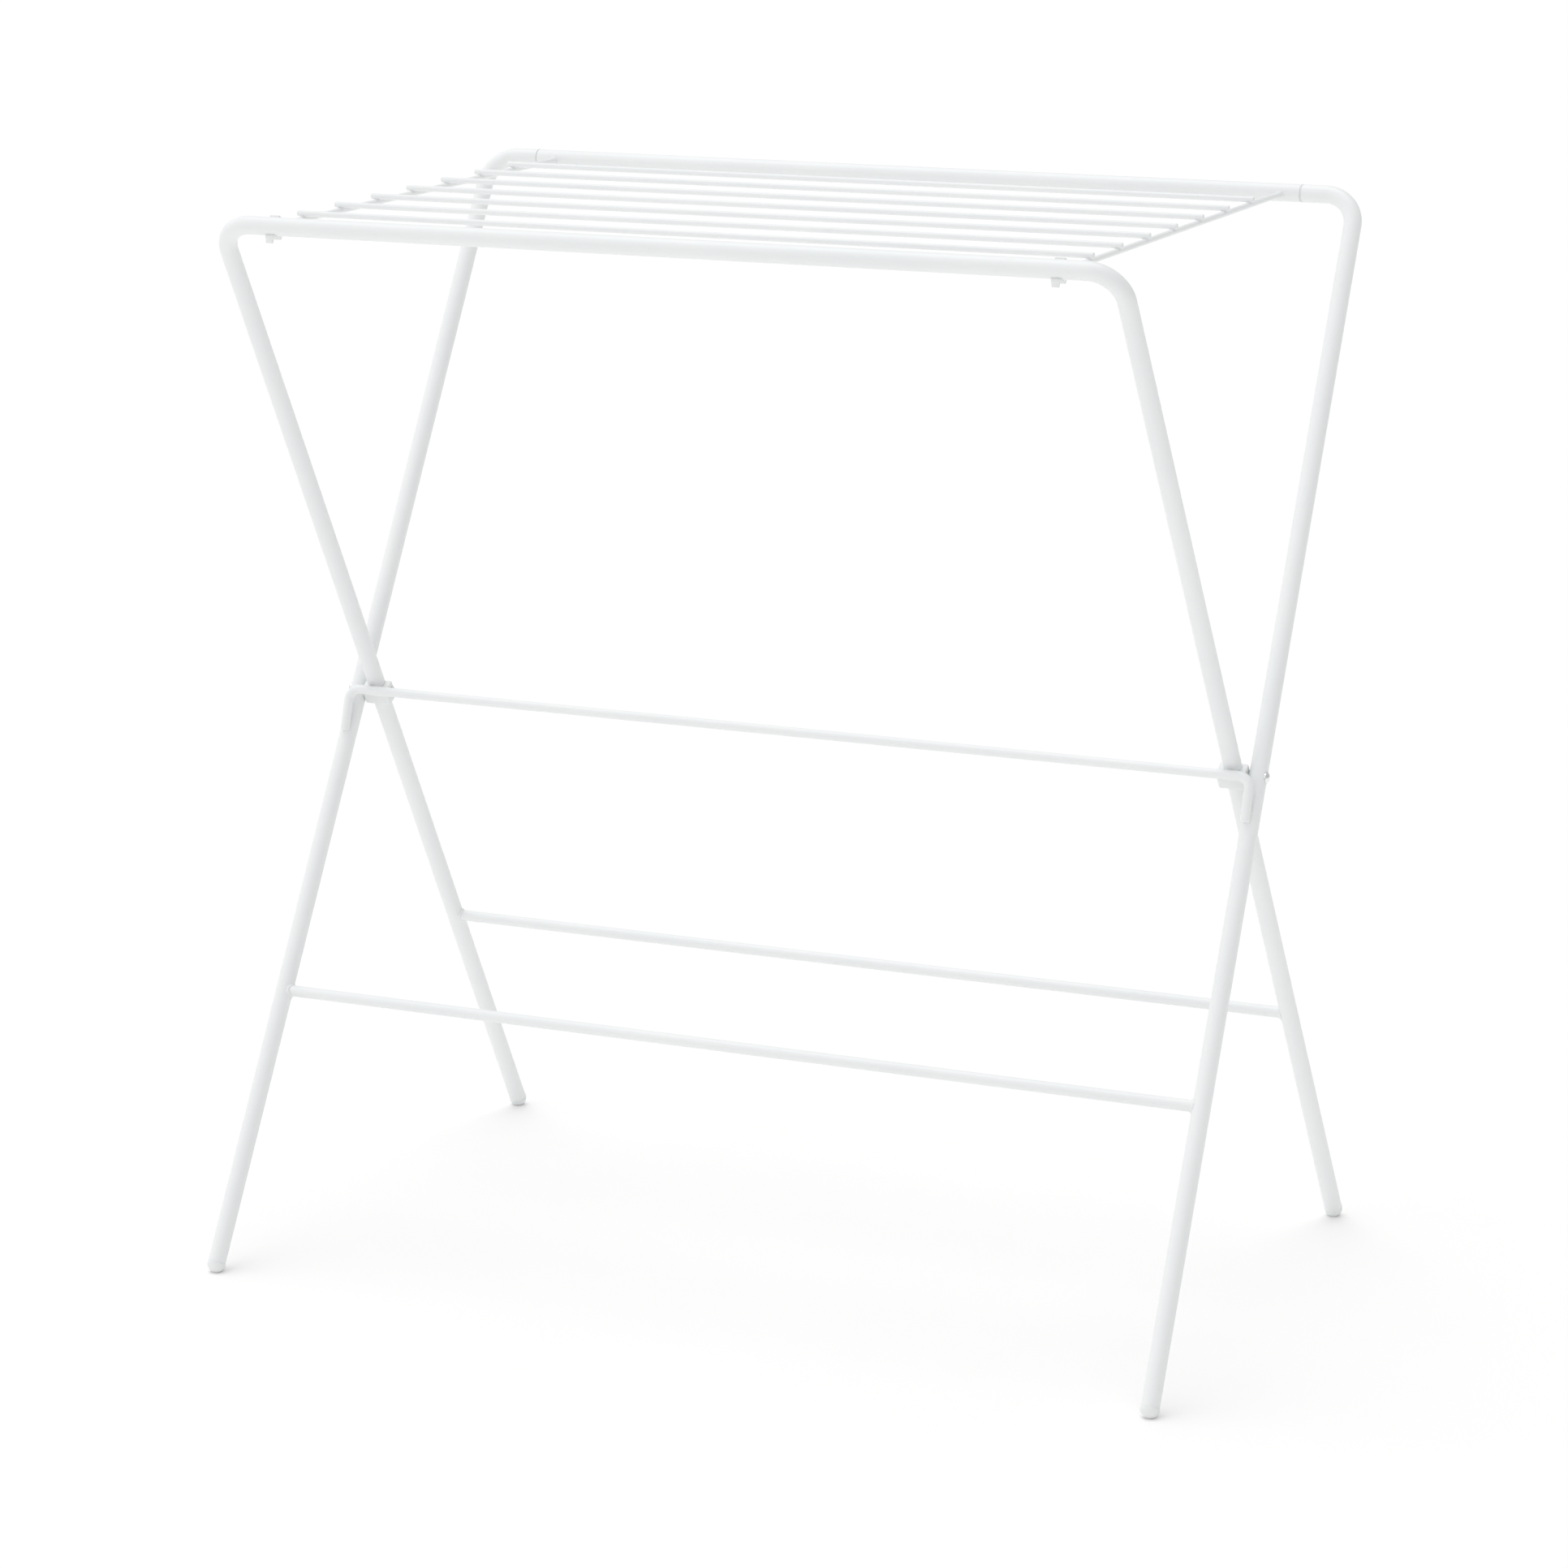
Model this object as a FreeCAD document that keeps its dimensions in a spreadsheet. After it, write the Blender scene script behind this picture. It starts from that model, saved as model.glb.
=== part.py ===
import FreeCAD, Part
import math
import os
import Sketcher

# Folding clothes drying rack, millimetres, +Z up, the front of the rack towards -Y.
# The origin is on the floor, below the middle of the pivot line.
# The outer frame stands at the front and reaches up to the back. The inner frame crosses it at two
# rivets and reaches up to the front. A wire grid turns about the bar across the top of the outer
# frame and lies in two plastic rests on the top tube of the inner frame.
# Pieces on the right (+X) are drawn, and the left ones are their mirror images.

DIMENSIONS = [
    ("tube_od", 14.0, "outside diameter of the frame tubes"),
    ("tube_wall", 1.0, "wall of the frame tubes"),
    ("bend_radius", 26.0, "centre-line radius of the top corners"),
    ("lean", 29.88, "angle of each frame from the vertical, degrees"),
    ("splay", 0.914, "angle by which the legs spread sideways going down, degrees"),
    ("pivot_height", 424.0, "pivot line above the floor"),
    ("top_height", 833.0, "axis of the top tubes above the floor"),
    ("outer_half", 385.7, "outer leg axis to the middle, at the pivot"),
    ("inner_half", 367.2, "inner leg axis to the middle, at the pivot"),
    ("low_bar_od", 9.0, "outside diameter of the lower bars"),
    ("low_bar_wall", 0.8, "wall of the lower bars"),
    ("low_bar_height", 202.3, "axis of the lower bars above the floor"),
    ("rail_od", 7.5, "diameter of the rail in front of the pivots"),
    ("rail_forward", 16.2, "rail axis in front of the pivot line"),
    ("rail_rise", 3.6, "rail axis above the pivot line"),
    ("rail_end_x", 385.0, "bent rail end to the middle"),
    ("rail_end_drop", 34.0, "length of the bent rail ends"),
    ("rail_end_lean", 18.3, "angle of the bent rail ends from the vertical, degrees"),
    ("rail_bend", 9.0, "centre-line radius of the rail's corners"),
    ("foot_od", 14.6, "outside diameter of the foot caps"),
    ("foot_length", 22.0, "top of a foot cap's plug above the centre of the round end"),
    ("foot_centre", 6.3, "centre of a foot cap's round end above the floor"),
    ("foot_floor", 1.0, "end of the tube above the centre of the round end"),
    ("rivet_shank", 5.0, "diameter of the pivot rivets"),
    ("rivet_head", 9.0, "diameter of the rivet heads"),
    ("rivet_dome", 2.2, "height of the rivet heads"),
    ("fit", 0.05, "radial clearance of a running fit"),
    ("gap", 0.3, "clearance between pieces that move past each other"),
    ("saddle_inside", 355.5, "inner side of a pivot saddle"),
    ("saddle_outside", 378.2, "outer side of a pivot saddle"),
    ("saddle_front", 8.2, "front of a pivot saddle before the inner leg's axis"),
    ("saddle_back", 5.0, "back of a pivot saddle behind the inner leg's axis"),
    ("saddle_height", 16.0, "height of a pivot saddle along the leg"),
    ("saddle_round", 1.4, "rounded edges of a pivot saddle"),
    ("seam_half", 333.4, "end of the turning bar to the middle"),
    ("bush_collar", 0.8, "thickness of the collar at the end of the turning bar"),
    ("bush_lip", 0.2, "height of that collar above the tubes it parts"),
    ("bush_reach", 22.0, "depth of the bush in each tube"),
    ("wire_od", 4.5, "diameter of the grid wires"),
    ("wire_half", 321.4, "half length of the long grid wires"),
    ("wire_round", 0.9, "rounding of the wire ends"),
    ("wire_pitch", 56.8, "spacing of the long grid wires"),
    ("first_wire", 49.7, "first long wire behind the front top tube's axis"),
    ("cross_half", 317.0, "cross wire axis to the middle"),
    ("cross_drop", 0.8, "cross wire axis below the top tubes' axes"),
    ("cross_front", 11.0, "front end of a cross wire behind the front top tube's axis"),
    ("hook_half", 314.0, "middle of a grid rest's hook to the middle of the rack"),
    ("hook_width", 7.4, "width of the hook along the tube"),
    ("hook_wall", 1.35, "wall of the hook"),
    ("hook_top", 70.0, "upper end of the hook behind the tube, degrees above level"),
    ("hook_front", 55.0, "front end of the hook under the tube, degrees below level"),
    ("lip_width", 2.4, "thickness of the lips under the hook"),
    ("lip_front", 5.6, "front lip before the tube's axis"),
    ("lip_front_drop", 10.8, "centre of the front lip's round end below the tube's axis"),
    ("lip_back", 6.4, "back lip behind the tube's axis"),
    ("lip_back_drop", 9.6, "centre of the back lip's round end below the tube's axis"),
    ("block_inside", 310.6, "inner side of the block that holds the grid"),
    ("block_outside", 320.6, "outer side of that block"),
    ("block_back", 15.0, "back of the block behind the front top tube's axis"),
    ("block_top", 5.0, "top of the block above the front top tube's axis"),
    ("block_bottom", 5.6, "bottom of the block below the front top tube's axis"),
    ("slot_front", 9.0, "front end of the slot for the cross wire behind the tube's axis"),
]
LONG_WIRES = 7

doc = FreeCAD.newDocument("drying_rack")
sheet = doc.addObject("Spreadsheet::Sheet", "dims")
for row, (alias, size, note) in enumerate(DIMENSIONS, 1):
    sheet.set(f"A{row}", alias)
    sheet.set(f"B{row}", str(size))
    sheet.set(f"C{row}", note)
    sheet.setAlias(f"B{row}", alias)
doc.recompute()

nodes = []

# Places that several pieces share, as sheet expressions. W is the distance up along a frame's plane
# from the pivot line.
TOP_W = "(dims.top_height - dims.pivot_height) / cos(dims.lean * 1 deg)"
FOOT_W = "(dims.pivot_height - dims.foot_centre) / cos(dims.lean * 1 deg)"
LOW_W = "(dims.pivot_height - dims.low_bar_height) / cos(dims.lean * 1 deg)"
TOP_Y = "(dims.top_height - dims.pivot_height) * tan(dims.lean * 1 deg)"
SPREAD = "tan(dims.splay * 1 deg)"
X_AXIS = FreeCAD.Vector(1, 0, 0)
Y_AXIS = FreeCAD.Vector(0, 1, 0)


def value(expression):
    """Work out a sheet expression as a number."""
    return float(sheet.evalExpression(expression))


def angle(degrees_x, degrees_y=0.0):
    """Turn about Y first and then about X."""
    return FreeCAD.Rotation(X_AXIS, degrees_x) * FreeCAD.Rotation(Y_AXIS, degrees_y)


def place(thing, x="0", y="0", z="0", turn=None):
    """Put a piece at a place tied to the sheet."""
    thing.Placement = FreeCAD.Placement(FreeCAD.Vector(value(x), value(y), value(z)),
                                        turn or FreeCAD.Rotation())
    for axis, expression in zip("xyz", (x, y, z)):
        thing.setExpression(f".Placement.Base.{axis}", expression)


def place_on_frame(thing, lean_sign):
    """Lay a piece's XZ plane in a frame's plane: -1 for the outer frame, 1 for the inner."""
    place(thing, z="dims.pivot_height", turn=angle(lean_sign * value("dims.lean")))


def keep(thing, label):
    """Name a finished piece."""
    thing.Label = label
    nodes.append(thing)
    return thing


def new_body(name):
    return doc.addObject("PartDesign::Body", name)


def sketch_on(body, role, offset=None):
    """Start a sketch on one of the body's own planes."""
    sketch = body.newObject("Sketcher::SketchObject", body.Name + "_sketch")
    plane = next(f for f in body.Origin.OriginFeatures if f.Role == role)
    sketch.AttachmentSupport = [(plane, "")]
    sketch.MapMode = "FlatFace"
    if offset:
        sketch.AttachmentOffset = FreeCAD.Placement(FreeCAD.Vector(0, 0, value(offset)),
                                                    FreeCAD.Rotation())
        sketch.setExpression(".AttachmentOffset.Base.z", offset)
    return sketch


def tie(sketch, geometry, position, x, y):
    """Hold one point of a sketch at a place tied to the sheet."""
    for kind, expression in (("DistanceX", x), ("DistanceY", y)):
        constraint = Sketcher.Constraint(kind, -1, 1, geometry, position, value(expression))
        index = sketch.addConstraint(constraint)
        sketch.setExpression(f"Constraints[{index}]", expression)


def add_circle(sketch, radius, x="0", y="0"):
    centre = FreeCAD.Vector(value(x), value(y), 0)
    circle = sketch.addGeometry(Part.Circle(centre, FreeCAD.Vector(0, 0, 1), value(radius)), False)
    tie(sketch, circle, 3, x, y)
    index = sketch.addConstraint(Sketcher.Constraint("Radius", circle, value(radius)))
    sketch.setExpression(f"Constraints[{index}]", radius)


def add_outline(sketch, corners):
    """Draw a closed outline of straight sides through corners tied to the sheet."""
    points = [FreeCAD.Vector(value(x), value(y), 0) for x, y in corners]
    sides = []
    for start, end in zip(points, points[1:] + points[:1]):
        sides.append(sketch.addGeometry(Part.LineSegment(start, end), False))
    for side, following, corner in zip(sides, sides[1:] + sides[:1], corners[1:] + corners[:1]):
        sketch.addConstraint(Sketcher.Constraint("Coincident", side, 2, following, 1))
        tie(sketch, following, 1, *corner)


def add_bend_path(sketch, start, corner, end, radius):
    """Draw a straight run, a tangent bend and a second straight run."""
    first, middle, last = [FreeCAD.Vector(value(x), value(y), 0) for x, y in (start, corner, end)]
    to_first = (first - middle).normalize()
    to_last = (last - middle).normalize()
    half_angle = to_first.getAngle(to_last) / 2
    bend = value(radius)
    tangent = bend / math.tan(half_angle)
    centre = middle + (to_first + to_last).normalize() * (bend / math.sin(half_angle))
    bend_start = middle + to_first * tangent
    bend_end = middle + to_last * tangent
    ends = [math.atan2(p.y - centre.y, p.x - centre.x) for p in (bend_start, bend_end)]
    arc_start, arc_end = (1, 2)
    if (ends[1] - ends[0]) % math.tau > math.pi:
        ends.reverse()
        arc_start, arc_end = (2, 1)
    circle = Part.Circle(centre, FreeCAD.Vector(0, 0, 1), bend)
    run_in = sketch.addGeometry(Part.LineSegment(first, bend_start), False)
    arc = sketch.addGeometry(Part.ArcOfCircle(circle, *ends), False)
    run_out = sketch.addGeometry(Part.LineSegment(bend_end, last), False)
    point = sketch.addGeometry(Part.Point(middle), True)
    sketch.addConstraint(Sketcher.Constraint("Tangent", run_in, 2, arc, arc_start))
    sketch.addConstraint(Sketcher.Constraint("Tangent", arc, arc_end, run_out, 1))
    index = sketch.addConstraint(Sketcher.Constraint("Radius", arc, bend))
    sketch.setExpression(f"Constraints[{index}]", radius)
    tie(sketch, point, 1, *corner)
    tie(sketch, run_in, 1, *start)
    tie(sketch, run_out, 2, *end)
    sketch.addConstraint(Sketcher.Constraint("PointOnObject", point, 1, run_in))
    sketch.addConstraint(Sketcher.Constraint("PointOnObject", point, 1, run_out))
    return [f"Edge{n}" for n in (1, 2, 3)]


def pad(body, sketch, length, midplane=False):
    feature = body.newObject("PartDesign::Pad", body.Name + "_pad")
    feature.Profile = sketch
    feature.SideType = "Symmetric" if midplane else "One side"
    feature.Length = value(length)
    feature.setExpression("Length", length)
    doc.recompute()
    return feature


def pocket(body, sketch, length):
    """Cut evenly to both sides of the sketch, and make sure that it cut something."""
    before = body.Shape.Volume
    feature = body.newObject("PartDesign::Pocket", body.Name + "_pocket")
    feature.Profile = sketch
    feature.SideType = "Symmetric"
    feature.Length = value(length)
    feature.setExpression("Length", length)
    doc.recompute()
    if body.Shape.Volume >= before - 0.01:
        raise RuntimeError(f"{feature.Name} cut nothing")
    return feature


def bent_tube(name, start, corner, end, bend, radius, bore=None):
    """Sweep a tube or rod along a bend that lies in the body's XZ plane, starting along X."""
    body = new_body(name)
    path = sketch_on(body, "XZ_Plane")
    edges = add_bend_path(path, start, corner, end, bend)
    sweeps = [("PartDesign::AdditivePipe", radius)]
    if bore:
        sweeps.append(("PartDesign::SubtractivePipe", bore))
    for kind, section_radius in sweeps:
        section = sketch_on(body, "YZ_Plane", start[0])
        add_circle(section, section_radius, "0", start[1])
        doc.recompute()
        pipe = body.newObject(kind, name + "_pipe")
        pipe.Profile = section
        pipe.Spine = (path, edges)
        doc.recompute()
    return body


def mirror_in_body(body):
    """Complete a half drawn on the +X side with its mirror image."""
    feature = body.newObject("PartDesign::Mirrored", body.Name + "_mirrored")
    feature.TransformMode = "Whole shape"
    plane = next(f for f in body.Origin.OriginFeatures if f.Role == "YZ_Plane")
    feature.MirrorPlane = (plane, [""])
    body.Tip = feature
    doc.recompute()


def drill_pivot(body, radius):
    """Drill the pivot hole along X through the tube's two walls."""
    sketch = sketch_on(body, "YZ_Plane")
    add_circle(sketch, radius)
    pocket(body, sketch, "2 * (dims.outer_half + dims.tube_od)")


def cut(base, tool, name):
    """Take one piece's shape out of another."""
    result = doc.addObject("Part::Cut", name)
    result.Base = base
    result.Tool = tool
    doc.recompute()
    return result


def leg_rod(name, half_width, lean_sign, radius, start, length):
    """A round rod on a leg's axis, from a distance above the centre of the foot's round end."""
    rod = doc.addObject("Part::Cylinder", name)
    rod.setExpression("Radius", radius)
    rod.setExpression("Height", length)
    below = f"({FOOT_W} - {start})"
    place(rod, f"{half_width} + {below} * {SPREAD}", f"{lean_sign} * {below} * sin(dims.lean * 1 deg)",
          f"dims.pivot_height - {below} * cos(dims.lean * 1 deg)",
          angle(lean_sign * value("dims.lean"), -value("dims.splay")))
    return rod


def mirrored(piece, label):
    """Make the left-hand piece from the right-hand one."""
    copy = doc.addObject("Part::Mirroring", label)
    copy.Source = piece
    copy.Normal = X_AXIS
    return keep(copy, label)


def both_envelopes(name, half_width, lean_sign):
    """The full round volume of two straight legs, for shaping what is welded or clipped to them."""
    right = leg_rod(name + "_right", half_width, lean_sign, "dims.tube_od / 2", "0",
                    f"{FOOT_W} + {TOP_W}")
    left = doc.addObject("Part::Mirroring", name + "_left")
    left.Source = right
    left.Normal = X_AXIS
    pair = doc.addObject("Part::Compound", name)
    pair.Links = [right, left]
    doc.recompute()
    return pair


def outer_leg():
    """A leg of the outer frame, bent over at the top into a short stub."""
    stub_end = "dims.seam_half + dims.bush_collar"
    body = bent_tube("outer_leg",
                     (stub_end, TOP_W),
                     (f"dims.outer_half - {TOP_W} * {SPREAD}", TOP_W),
                     (f"dims.outer_half + ({FOOT_W} - dims.foot_floor) * {SPREAD}",
                      f"dims.foot_floor - {FOOT_W}"),
                     "dims.bend_radius", "dims.tube_od / 2", "dims.tube_od / 2 - dims.tube_wall")
    drill_pivot(body, "dims.rivet_shank / 2")
    place_on_frame(body, -1)
    return body


def inner_hoop():
    """The inner frame: one tube bent into a hoop."""
    body = bent_tube("inner_hoop_half",
                     ("0", TOP_W),
                     (f"dims.inner_half - {TOP_W} * {SPREAD}", TOP_W),
                     (f"dims.inner_half + ({FOOT_W} - dims.foot_floor) * {SPREAD}",
                      f"dims.foot_floor - {FOOT_W}"),
                     "dims.bend_radius", "dims.tube_od / 2", "dims.tube_od / 2 - dims.tube_wall")
    drill_pivot(body, "dims.rivet_shank / 2 + dims.fit")
    mirror_in_body(body)
    place_on_frame(body, 1)
    return body


def lower_bar(name, half_width, lean_sign, envelopes):
    """A thin tube across two legs, its ends shaped to the legs it is welded to."""
    body = new_body(name + "_tube")
    section = sketch_on(body, "YZ_Plane")
    add_circle(section, "dims.low_bar_od / 2", "0", f"-1 * {LOW_W}")
    add_circle(section, "dims.low_bar_od / 2 - dims.low_bar_wall", "0", f"-1 * {LOW_W}")
    pad(body, section, f"2 * ({half_width} + {LOW_W} * {SPREAD})", midplane=True)
    place_on_frame(body, lean_sign)
    return cut(body, envelopes, name)


def mid_rail(envelopes):
    """The rail across the front at the pivots, its ends bent down and welded to the outer legs."""
    body = bent_tube("mid_rail_half", ("0", "0"), ("dims.rail_end_x", "0"),
                     ("dims.rail_end_x", "-1 * dims.rail_end_drop"),
                     "dims.rail_bend", "dims.rail_od / 2")
    mirror_in_body(body)
    place(body, y="-1 * dims.rail_forward", z="dims.pivot_height + dims.rail_rise",
          turn=angle(-value("dims.rail_end_lean")))
    return cut(body, envelopes, "mid_rail_cut")


def foot_cap(name, half_width, lean_sign):
    """A plug in the end of a leg, with a round head that is flat where it stands on the floor."""
    outside = "dims.foot_od / 2"
    inside = "dims.tube_od / 2 - dims.tube_wall - dims.fit"
    leg = (half_width, lean_sign)
    shoulder = leg_rod(name + "_shoulder", *leg, outside, "0", "dims.foot_floor")
    plug = leg_rod(name + "_plug", *leg, inside, "0", "dims.foot_length")
    above = leg_rod(name + "_above", *leg, "dims.foot_od", "dims.foot_floor", "dims.foot_length")
    ball = doc.addObject("Part::Sphere", name + "_ball")
    ball.setExpression("Radius", outside)
    ball.setExpression("Angle1", f"-asin(dims.foot_centre / ({outside}))")
    place(ball, f"{half_width} + {FOOT_W} * {SPREAD}",
          f"{lean_sign} * {FOOT_W} * sin(dims.lean * 1 deg)", "dims.foot_centre")
    head = doc.addObject("Part::MultiFuse", name + "_head")
    head.Shapes = [shoulder, ball]
    doc.recompute()
    cap = doc.addObject("Part::MultiFuse", name)
    cap.Shapes = [cut(head, above, name + "_end"), plug]
    doc.recompute()
    return cap


def pivot_rivet():
    """A rivet through the saddle and both legs, with a domed head on each end."""
    body = new_body("pivot_rivet")
    outer_face = "dims.outer_half + dims.tube_od / 2"
    inner_face = "dims.saddle_inside - dims.gap"
    sketch = sketch_on(body, "YZ_Plane", inner_face)
    add_circle(sketch, "dims.rivet_shank / 2")
    pad(body, sketch, f"{outer_face} - ({inner_face})")
    heads = []
    for name, face, direction in (("outer", outer_face, 1), ("inner", inner_face, -1)):
        dome = "((dims.rivet_head / 2) ^ 2 + dims.rivet_dome ^ 2) / (2 * dims.rivet_dome)"
        ball = doc.addObject("Part::Sphere", f"rivet_{name}_ball")
        ball.setExpression("Radius", dome)
        place(ball, f"{face} + {direction} * (dims.rivet_dome - {dome})")
        slab = doc.addObject("Part::Cylinder", f"rivet_{name}_slab")
        slab.setExpression("Radius", "dims.rivet_head / 2")
        slab.setExpression("Height", "2 * dims.rivet_dome")
        place(slab, face, turn=angle(0, 90 * direction))
        head = doc.addObject("Part::Common", f"rivet_{name}_head")
        head.Base = ball
        head.Tool = slab
        heads.append(head)
    doc.recompute()
    rivet = doc.addObject("Part::MultiFuse", "pivot_rivet_fused")
    rivet.Shapes = [body] + heads
    place(rivet, z="dims.pivot_height")
    doc.recompute()
    return rivet


def pivot_saddle(envelope):
    """A plastic saddle round the front of an inner leg, which spaces it from the outer leg."""
    body = new_body("pivot_saddle")
    sketch = sketch_on(body, "XY_Plane")
    add_outline(sketch, [("dims.saddle_inside", "-1 * dims.saddle_front"),
                         ("dims.saddle_outside", "-1 * dims.saddle_front"),
                         ("dims.saddle_outside", "dims.saddle_back"),
                         ("dims.saddle_inside", "dims.saddle_back")])
    block = pad(body, sketch, "dims.saddle_height", midplane=True)
    rounding = body.newObject("PartDesign::Fillet", "pivot_saddle_rounding")
    rounding.Base = (block, [f"Edge{n + 1}" for n in range(len(block.Shape.Edges))])
    rounding.Radius = value("dims.saddle_round")
    rounding.setExpression("Radius", "dims.saddle_round")
    doc.recompute()
    drill_pivot(body, "dims.rivet_shank / 2 + dims.fit")
    place_on_frame(body, 1)
    return cut(body, envelope, "pivot_saddle_right_cut")


def end_bush():
    """A plastic bush fixed in the outer leg's stub, with a collar and a spigot for the turning bar."""
    body = new_body("end_bush")
    spigot = "dims.tube_od / 2 - dims.tube_wall - dims.fit"
    for start, length, radius in (
            ("dims.seam_half", "dims.bush_collar", "dims.tube_od / 2 + dims.bush_lip"),
            ("dims.seam_half - dims.bush_reach", "dims.bush_reach", spigot),
            ("dims.seam_half + dims.bush_collar", "dims.bush_reach", spigot)):
        sketch = sketch_on(body, "YZ_Plane", start)
        add_circle(sketch, radius)
        pad(body, sketch, length)
    place(body, y=TOP_Y, z="dims.top_height")
    return body


def grid_pivot_bar():
    """The bar across the top of the outer frame, which turns on the two bushes."""
    body = new_body("grid_pivot_bar")
    sketch = sketch_on(body, "YZ_Plane")
    add_circle(sketch, "dims.tube_od / 2")
    add_circle(sketch, "dims.tube_od / 2 - dims.tube_wall")
    pad(body, sketch, "2 * (dims.seam_half - dims.gap)", midplane=True)
    place(body, y=TOP_Y, z="dims.top_height")
    return body


def cross_wire():
    """A wire from the turning bar to a rest, its back end shaped to the bar it is welded to."""
    rod = doc.addObject("Part::Cylinder", "cross_wire_rod")
    rod.setExpression("Radius", "dims.wire_od / 2")
    rod.setExpression("Height", f"2 * {TOP_Y} - dims.cross_front")
    place(rod, "dims.cross_half", f"dims.cross_front - {TOP_Y}", "dims.top_height - dims.cross_drop",
          angle(-90))
    envelope = doc.addObject("Part::Cylinder", "cross_wire_end")
    envelope.setExpression("Radius", "dims.tube_od / 2")
    envelope.setExpression("Height", "dims.seam_half")
    place(envelope, "0", TOP_Y, "dims.top_height", angle(0, 90))
    doc.recompute()
    return cut(rod, envelope, "cross_wire_cut")


def long_wire(number):
    """One of the long wires that lie across the two cross wires."""
    body = new_body(f"grid_wire_{number}")
    sketch = sketch_on(body, "YZ_Plane")
    add_circle(sketch, "dims.wire_od / 2")
    rod = pad(body, sketch, "2 * dims.wire_half", midplane=True)
    rounding = body.newObject("PartDesign::Fillet", body.Name + "_rounding")
    ends = [f"Edge{n + 1}" for n, edge in enumerate(rod.Shape.Edges) if edge.Closed]
    rounding.Base = (rod, ends)
    rounding.Radius = value("dims.wire_round")
    rounding.setExpression("Radius", "dims.wire_round")
    place(body, y=f"dims.first_wire + {number - 1} * dims.wire_pitch - {TOP_Y}",
          z="dims.top_height - dims.cross_drop + dims.wire_od")
    doc.recompute()
    return body


def grid_rest():
    """A plastic rest hooked round the front top tube, with a slot that the cross wire drops into."""
    body = new_body("grid_rest_hook")
    inside = "dims.tube_od / 2 + dims.fit"
    outside = f"({inside} + dims.hook_wall)"
    far = f"3 * {outside}"

    def profile(draw):
        sketch = sketch_on(body, "YZ_Plane")
        draw(sketch)
        return sketch

    opening = [("0", "0"),
               (f"{far} * cos(dims.hook_top * 1 deg)", f"{far} * sin(dims.hook_top * 1 deg)"),
               (f"-1 * {far}", far),
               (f"-1 * {far} * cos(dims.hook_front * 1 deg)",
                f"-1 * {far} * sin(dims.hook_front * 1 deg)")]
    pad(body, profile(lambda s: add_circle(s, outside)), "dims.hook_width", midplane=True)
    pocket(body, profile(lambda s: add_outline(s, opening)), "2 * dims.hook_width")
    for lip, drop in (("-1 * dims.lip_front", "dims.lip_front_drop"),
                      ("dims.lip_back", "dims.lip_back_drop")):
        half = "dims.lip_width / 2"
        root, root_drop = f"0.7 * {lip}", "-0.85 * dims.tube_od / 2"
        lip_outline = [(f"{lip} - {half}", f"-1 * {drop}"), (f"{lip} + {half}", f"-1 * {drop}"),
                       (f"{root} + {half}", root_drop), (f"{root} - {half}", root_drop)]
        pad(body, profile(lambda s: add_outline(s, lip_outline)), "dims.hook_width", midplane=True)
        pad(body, profile(lambda s: add_circle(s, half, lip, f"-1 * {drop}")),
            "dims.hook_width", midplane=True)
    pocket(body, profile(lambda s: add_circle(s, inside)), "2 * dims.hook_width")
    place(body, "dims.hook_half", f"-1 * {TOP_Y}", "dims.top_height")

    def box(name, low, high):
        solid = doc.addObject("Part::Box", name)
        for side, start, stop in zip(("Length", "Width", "Height"), low, high):
            solid.setExpression(side, f"{stop} - ({start})")
        x, y, z = low
        place(solid, x, f"{y} - {TOP_Y}", f"{z} + dims.top_height")
        return solid

    near = f"{inside} + dims.hook_wall / 2"
    block = box("grid_rest_block", ("dims.block_inside", near, "-1 * dims.block_bottom"),
                ("dims.block_outside", "dims.block_back", "dims.block_top"))
    reach = "(dims.wire_od / 2 + dims.gap)"
    slot = box("grid_rest_slot",
               (f"dims.cross_half - {reach}", "dims.slot_front", f"-1 * dims.cross_drop - {reach}"),
               (f"dims.cross_half + {reach}", "2 * dims.block_back", "2 * dims.block_top"))
    doc.recompute()
    rest = doc.addObject("Part::MultiFuse", "grid_rest_fused")
    rest.Shapes = [body, block]
    doc.recompute()
    return cut(rest, slot, "grid_rest_cut")


outer_envelopes = both_envelopes("outer_envelopes", "dims.outer_half", -1)
inner_envelopes = both_envelopes("inner_envelopes", "dims.inner_half", 1)

for piece, name in (
        (outer_leg(), "outer_leg"),
        (foot_cap("front_foot_cap", "dims.outer_half", -1), "front_foot_cap"),
        (foot_cap("back_foot_cap", "dims.inner_half", 1), "back_foot_cap"),
        (pivot_rivet(), "pivot_rivet"),
        (pivot_saddle(inner_envelopes.Links[0]), "pivot_saddle"),
        (end_bush(), "bar_end_bush"),
        (cross_wire(), "cross_wire"),
        (grid_rest(), "grid_rest")):
    keep(piece, name + "_right")
    mirrored(piece, name + "_left")
keep(inner_hoop(), "inner_hoop")
keep(lower_bar("front_lower_bar", "dims.outer_half", -1, outer_envelopes), "front_lower_bar")
keep(lower_bar("back_lower_bar", "dims.inner_half", 1, inner_envelopes), "back_lower_bar")
keep(mid_rail(outer_envelopes), "mid_rail")
keep(grid_pivot_bar(), "grid_pivot_bar")
for number in range(1, LONG_WIRES + 1):
    keep(long_wire(number), f"grid_wire_{number}")
doc.recompute()

for thing in doc.Objects:
    if {"Invalid", "Error"} & set(thing.State):
        raise RuntimeError(f"{thing.Name} failed: {thing.State}")
for node in nodes:
    if node.Shape.isNull() or not node.Shape.isValid() or len(node.Shape.Solids) != 1:
        raise RuntimeError(f"{node.Label} is not one valid solid")
    if node.Shape.Volume <= 0:
        raise RuntimeError(f"{node.Label} is inside out")

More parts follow.
